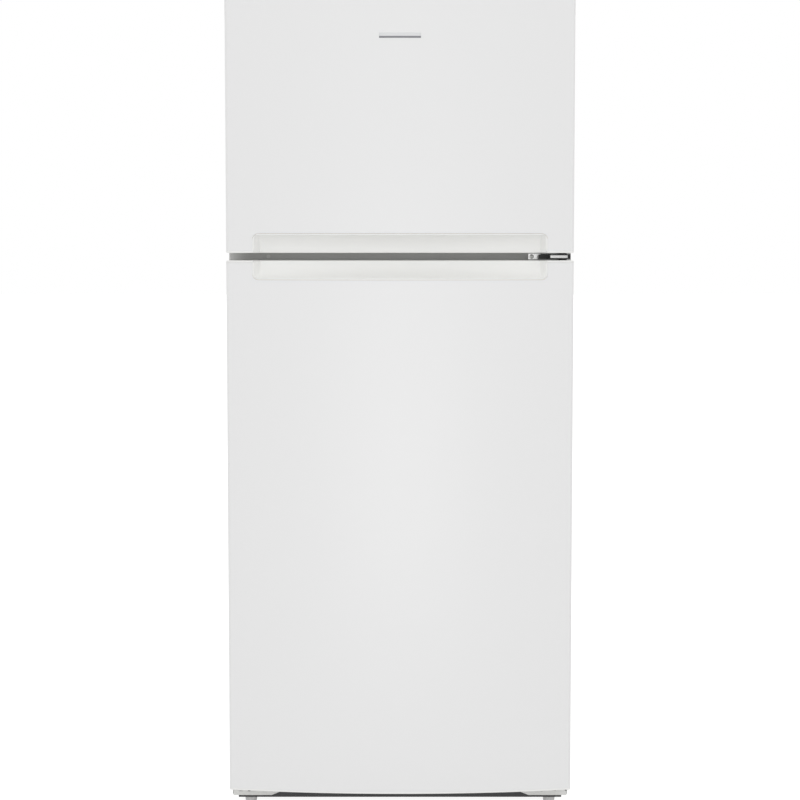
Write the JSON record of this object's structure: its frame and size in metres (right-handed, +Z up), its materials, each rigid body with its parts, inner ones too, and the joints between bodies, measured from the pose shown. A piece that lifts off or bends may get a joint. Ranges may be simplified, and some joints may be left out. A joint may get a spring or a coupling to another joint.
{
  "type": "top freezer refrigerator",
  "caption": "Free-standing white refrigerator with a freezer above, two right-hung crowned doors with scooped edge grips, shelves, drawers and a rear machine bay.",
  "frame": {"origin": "centre of the footprint box, on the floor", "axes": "+Z up, +X to the viewer's right when facing the doors, +Y to the back; doors face -Y"},
  "size_m": [0.701, 0.74, 1.688],
  "materials": {
    "door_enamel": "gloss",
    "cabinet_enamel": "satin",
    "bracket_enamel": "satin",
    "dark_enamel": "satin",
    "galvanised_steel": "satin",
    "plated_steel": "satin",
    "grip_plastic": "satin",
    "liner_plastic": "gloss",
    "clear_plastic": "gloss",
    "lens_plastic": "satin",
    "grey_plastic": "matte",
    "black_plastic": "matte",
    "white_plastic": "satin",
    "badge_plate": "satin",
    "shelf_glass": "gloss",
    "gasket_vinyl": "matte",
    "foam": "matte",
    "fibre_board": "matte",
    "compressor_enamel": "satin",
    "coil_aluminium": "satin",
    "coil_enamel": "satin",
    "coated_wire": "gloss"
  },
  "bodies": {
    "cabinet": {"side_panel_left": "cabinet_enamel", "side_panel_right": "cabinet_enamel", "top_panel": "cabinet_enamel", "back_panel": "galvanised_steel", "base_pan": "cabinet_enamel", "mullion_rail": "cabinet_enamel", "base_rail": "dark_enamel", "machine_tray": "galvanised_steel", "fridge_liner": "liner_plastic", "freezer_liner": "liner_plastic", "cabinet_foam": "foam", "rear_cover": "fibre_board", "cord_gland": "black_plastic", "wall_spacers": "black_plastic", "leg_bracket_left": "bracket_enamel", "bottom_hinge": "bracket_enamel", "centre_hinge": "plated_steel", "centre_hinge_spacers": "black_plastic", "top_hinge": "plated_steel", "top_hinge_cover": "white_plastic", "cabinet_screws": "plated_steel", "hole_plugs": "white_plastic", "freezer_air_cover": "liner_plastic", "evaporator_fan_motor": "black_plastic", "evaporator": "coil_aluminium", "freezer_shelf": "coated_wire", "shelf_frames": "white_plastic", "shelf_glasses": "shelf_glass", "control_housing": "white_plastic", "light_lens": "lens_plastic", "compressor": "compressor_enamel", "condenser": "coil_enamel", "condenser_fan_motor": "galvanised_steel", "drain_pan": "black_plastic"},
    "freezer_door": {"freezer_door_skin": "door_enamel", "freezer_door_grip_cap": "grip_plastic", "freezer_door_end_cap": "grip_plastic", "freezer_door_foam": "foam", "freezer_door_liner": "liner_plastic", "freezer_door_gasket": "gasket_vinyl", "freezer_door_racks": "clear_plastic", "badge": "badge_plate"},
    "fridge_door": {"fridge_door_skin": "door_enamel", "fridge_door_grip_cap": "grip_plastic", "fridge_door_end_cap": "grip_plastic", "fridge_door_foam": "foam", "fridge_door_liner": "liner_plastic", "fridge_door_gasket": "gasket_vinyl", "fridge_door_racks": "clear_plastic"},
    "drawer_left": {"crisper_left": "clear_plastic"},
    "drawer_right": {"crisper_right": "clear_plastic"},
    "freezer_control": {"freezer_dial": "white_plastic"},
    "fridge_control": {"fridge_dial": "white_plastic"},
    "door_switch": {"light_switch_plunger": "white_plastic"},
    "leg_left": {"levelling_leg_left": "grey_plastic"},
    "leg_right": {"levelling_leg_right": "grey_plastic"},
    "wheel_left": {"roller_left": "black_plastic"},
    "wheel_right": {"roller_right": "black_plastic"},
    "cold_fan": {"evaporator_fan": "white_plastic"},
    "warm_fan": {"condenser_fan": "black_plastic"}
  },
  "joints": [
    {"name": "freezer_door_hinge", "type": "hinge", "parent": "cabinet", "child": "freezer_door", "pos_m": [0.33, -0.308, 1.4], "axis": [0, 0, 1], "range_deg": [0, 135]},
    {"name": "fridge_door_hinge", "type": "hinge", "parent": "cabinet", "child": "fridge_door", "pos_m": [0.33, -0.308, 0.6], "axis": [0, 0, 1], "range_deg": [0, 135]},
    {"name": "drawer_left_slide", "type": "slide", "parent": "cabinet", "child": "drawer_left", "axis": [0, -1, 0], "range_m": [0, 0.191]},
    {"name": "drawer_right_slide", "type": "slide", "parent": "cabinet", "child": "drawer_right", "axis": [0, -1, 0], "range_m": [0, 0.191]},
    {"name": "door_switch_slide", "type": "slide", "parent": "cabinet", "child": "door_switch", "axis": [0, -1, 0], "range_m": [0, 0.0061]},
    {"name": "freezer_dial_turn", "type": "hinge", "parent": "cabinet", "child": "freezer_control", "pos_m": [-0.08, -0.1693, 1.09], "axis": [0, -1, 0], "range_deg": [-135, 135]},
    {"name": "fridge_dial_turn", "type": "hinge", "parent": "cabinet", "child": "fridge_control", "pos_m": [0.08, -0.1693, 1.09], "axis": [0, -1, 0], "range_deg": [-135, 135]},
    {"name": "leg_left_screw", "type": "slide", "parent": "cabinet", "child": "leg_left", "axis": [0, 0, -1], "range_m": [0, 0.012]},
    {"name": "leg_right_screw", "type": "slide", "parent": "cabinet", "child": "leg_right", "axis": [0, 0, -1], "range_m": [0, 0.012]},
    {"name": "roller_left_spin", "type": "hinge", "parent": "cabinet", "child": "wheel_left", "pos_m": [-0.3, 0.29, 0.02], "axis": [1, 0, 0], "continuous": true},
    {"name": "roller_right_spin", "type": "hinge", "parent": "cabinet", "child": "wheel_right", "pos_m": [0.3, 0.29, 0.02], "axis": [1, 0, 0], "continuous": true},
    {"name": "cold_fan_spin", "type": "hinge", "parent": "cabinet", "child": "cold_fan", "pos_m": [0, 0.238, 1.5], "axis": [0, 1, 0], "continuous": true},
    {"name": "warm_fan_spin", "type": "hinge", "parent": "cabinet", "child": "warm_fan", "pos_m": [0.15, 0.262, 0.12], "axis": [0, 1, 0], "continuous": true}
  ],
  "couplings": [
    {"joint": "drawer_left_slide", "follows": "fridge_door_hinge", "m_per_rad": 0.080639},
    {"joint": "drawer_right_slide", "follows": "fridge_door_hinge", "m_per_rad": 0.080639},
    {"joint": "door_switch_slide", "follows": "fridge_door_hinge", "m_per_rad": 0.002546}
  ]
}
